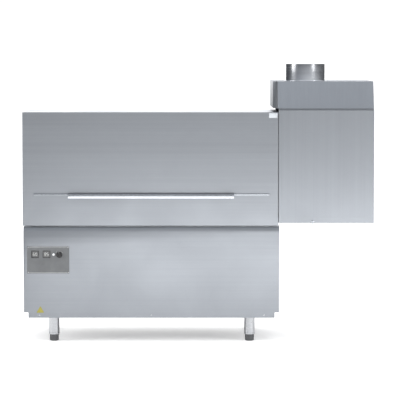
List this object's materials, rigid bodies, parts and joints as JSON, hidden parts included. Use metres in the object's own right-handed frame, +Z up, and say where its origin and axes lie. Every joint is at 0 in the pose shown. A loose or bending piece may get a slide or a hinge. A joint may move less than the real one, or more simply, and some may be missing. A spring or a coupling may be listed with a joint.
{
  "type": "commercial dishwasher",
  "caption": "Rack conveyor dishwasher on round legs with a full-width lift-up front door, a small control panel and a drying tunnel with an extraction fan box over its exit.",
  "frame": {"origin": "on the floor under the middle of the machine's box", "axes": "+X the way the racks travel, -Y the operator's side, +Z up"},
  "size_m": [2.325, 0.88, 1.8393],
  "materials": {
    "door_steel": "brushed along the length of the door",
    "panel_steel": "brushed sheet",
    "dryer_steel": "brushed sheet, vertical grain",
    "chamber_steel": "satin sheet with weld discolouring",
    "leg_steel": "turned and polished tube",
    "pipe_steel": "drawn tube",
    "dark_steel": "heat-darkened sheath",
    "cast_metal": "sand-cast",
    "motor_paint": "enamel on cast aluminium",
    "control_grey": "matt grey overlay",
    "display_black": "dark window in a bezel",
    "lamp_white": "opal lens",
    "knob_black": "moulded, with a white pointer",
    "nylon": "machined",
    "curtain_vinyl": "grey strips",
    "foot_plastic": "dark moulded foot on a steel stem",
    "brass": "machined",
    "gland_black": "moulded"
  },
  "bodies": {
    "machine": {"base_frame": "panel_steel", "booster_heater": "pipe_steel", "cable_gland": "gland_black", "control_box": "panel_steel", "control_plate": "control_grey", "door_guide_left": "panel_steel", "door_guide_right": "panel_steel", "drain_outlet": "pipe_steel", "dryer_heater": "dark_steel", "dryer_housing": "dryer_steel", "exhaust_collar": "dryer_steel", "fan_box": "dryer_steel", "fan_motor": "motor_paint", "front_track_rail": "chamber_steel", "gear_motor": "motor_paint", "lamp_lens": "lamp_white", "left_side_panel": "panel_steel", "leg_front_left": "leg_steel", "leg_front_right": "leg_steel", "leg_rear_left": "leg_steel", "leg_rear_right": "leg_steel", "lower_front_panel": "panel_steel", "lower_wash_arm": "pipe_steel", "pump_motor": "motor_paint", "rear_panel": "panel_steel", "rear_track_rail": "chamber_steel", "right_side_panel": "panel_steel", "rinse_arch": "pipe_steel", "rinse_display": "display_black", "supply_pipe": "pipe_steel", "tank_heater": "dark_steel", "upper_wash_arm": "pipe_steel", "wash_display": "display_black", "wash_hood": "chamber_steel", "wash_pump": "cast_metal", "wash_tank": "chamber_steel", "water_inlet": "brass"},
    "door": {"door_outer_skin": "door_steel", "door_inner_skin": "door_steel", "door_handle": "door_steel", "guide_shoe_left": "nylon", "guide_shoe_right": "nylon"},
    "dryer_cover": {"dryer_front_cover": "dryer_steel"},
    "latch": {"cover_latch": "dryer_steel"},
    "reel_left": {"balance_reel_left": "dark_steel"},
    "reel_right": {"balance_reel_right": "dark_steel"},
    "knob": {"selector_knob": "knob_black"},
    "standpipe": {"standpipe": "pipe_steel"},
    "strainer": {"strainer_tray": "chamber_steel"},
    "conveyor": {"conveyor_bar": "chamber_steel"},
    "crank": {"drive_crank": "chamber_steel"},
    "impeller": {"pump_impeller": "brass"},
    "fan": {"fan_wheel": "chamber_steel"},
    "entry_curtain": {"curtain_entry": "curtain_vinyl"},
    "exit_curtain": {"curtain_exit": "curtain_vinyl"},
    "foot_front_left": {"foot_front_left": "foot_plastic"},
    "foot_front_right": {"foot_front_right": "foot_plastic"},
    "foot_rear_left": {"foot_rear_left": "foot_plastic"},
    "foot_rear_right": {"foot_rear_right": "foot_plastic"}
  },
  "joints": [
    {"name": "door_lift", "type": "slide", "parent": "machine", "child": "door", "axis": [0, 0, 1], "range_m": [0, 0.45]},
    {"name": "left_reel_turn", "type": "hinge", "parent": "machine", "child": "reel_left", "pos_m": [-1.0775, -0.353, 1.4697], "axis": [0, 1, 0], "range_deg": [0, 905]},
    {"name": "right_reel_turn", "type": "hinge", "parent": "machine", "child": "reel_right", "pos_m": [0.4425, -0.353, 1.4697], "axis": [0, -1, 0], "range_deg": [0, 905]},
    {"name": "selector_turn", "type": "hinge", "parent": "machine", "child": "knob", "pos_m": [-0.922, -0.405, 0.58], "axis": [0, -1, 0], "range_deg": [-60, 60]},
    {"name": "cover_flap", "type": "hinge", "parent": "machine", "child": "dryer_cover", "pos_m": [0.8475, -0.402, 1.537], "axis": [-1, 0, 0], "range_deg": [0, 80]},
    {"name": "latch_turn", "type": "hinge", "parent": "dryer_cover", "child": "latch", "pos_m": [0.757, -0.405, 0.8], "axis": [0, 1, 0], "range_deg": [0, 90]},
    {"name": "entry_curtain_swing", "type": "hinge", "parent": "machine", "child": "entry_curtain", "pos_m": [-1.1325, 0.0277, 1.318], "axis": [0, 1, 0], "range_deg": [-60, 60]},
    {"name": "exit_curtain_swing", "type": "hinge", "parent": "machine", "child": "exit_curtain", "pos_m": [1.1325, 0.0117, 1.318], "axis": [0, 1, 0], "range_deg": [-60, 60]},
    {"name": "conveyor_stroke", "type": "slide", "parent": "machine", "child": "conveyor", "axis": [1, 0, 0], "range_m": [0, 0.13]},
    {"name": "crank_turn", "type": "hinge", "parent": "machine", "child": "crank", "pos_m": [0.33, -0.035, 0.75], "axis": [0, 0, 1], "continuous": true},
    {"name": "impeller_turn", "type": "hinge", "parent": "machine", "child": "impeller", "pos_m": [-0.33, 0.1, 0.353], "axis": [1, 0, 0], "continuous": true},
    {"name": "fan_turn", "type": "hinge", "parent": "machine", "child": "fan", "pos_m": [0.72, 0, 1.64], "axis": [0, 0, 1], "continuous": true},
    {"name": "standpipe_lift", "type": "slide", "parent": "machine", "child": "standpipe", "axis": [0, 0, 1], "range_m": [0, 0.06]},
    {"name": "strainer_lift", "type": "slide", "parent": "machine", "child": "strainer", "axis": [0, 0, 1], "range_m": [0, 0.05]},
    {"name": "foot_front_left_screw", "type": "slide", "parent": "machine", "child": "foot_front_left", "axis": [0, 0, -1], "range_m": [0, 0.04]},
    {"name": "foot_front_right_screw", "type": "slide", "parent": "machine", "child": "foot_front_right", "axis": [0, 0, -1], "range_m": [0, 0.04]},
    {"name": "foot_rear_left_screw", "type": "slide", "parent": "machine", "child": "foot_rear_left", "axis": [0, 0, -1], "range_m": [0, 0.04]},
    {"name": "foot_rear_right_screw", "type": "slide", "parent": "machine", "child": "foot_rear_right", "axis": [0, 0, -1], "range_m": [0, 0.04]}
  ],
  "couplings": [
    {"joint": "left_reel_turn", "follows": "door_lift", "rad_per_m": 35.088},
    {"joint": "right_reel_turn", "follows": "door_lift", "rad_per_m": 35.088}
  ]
}
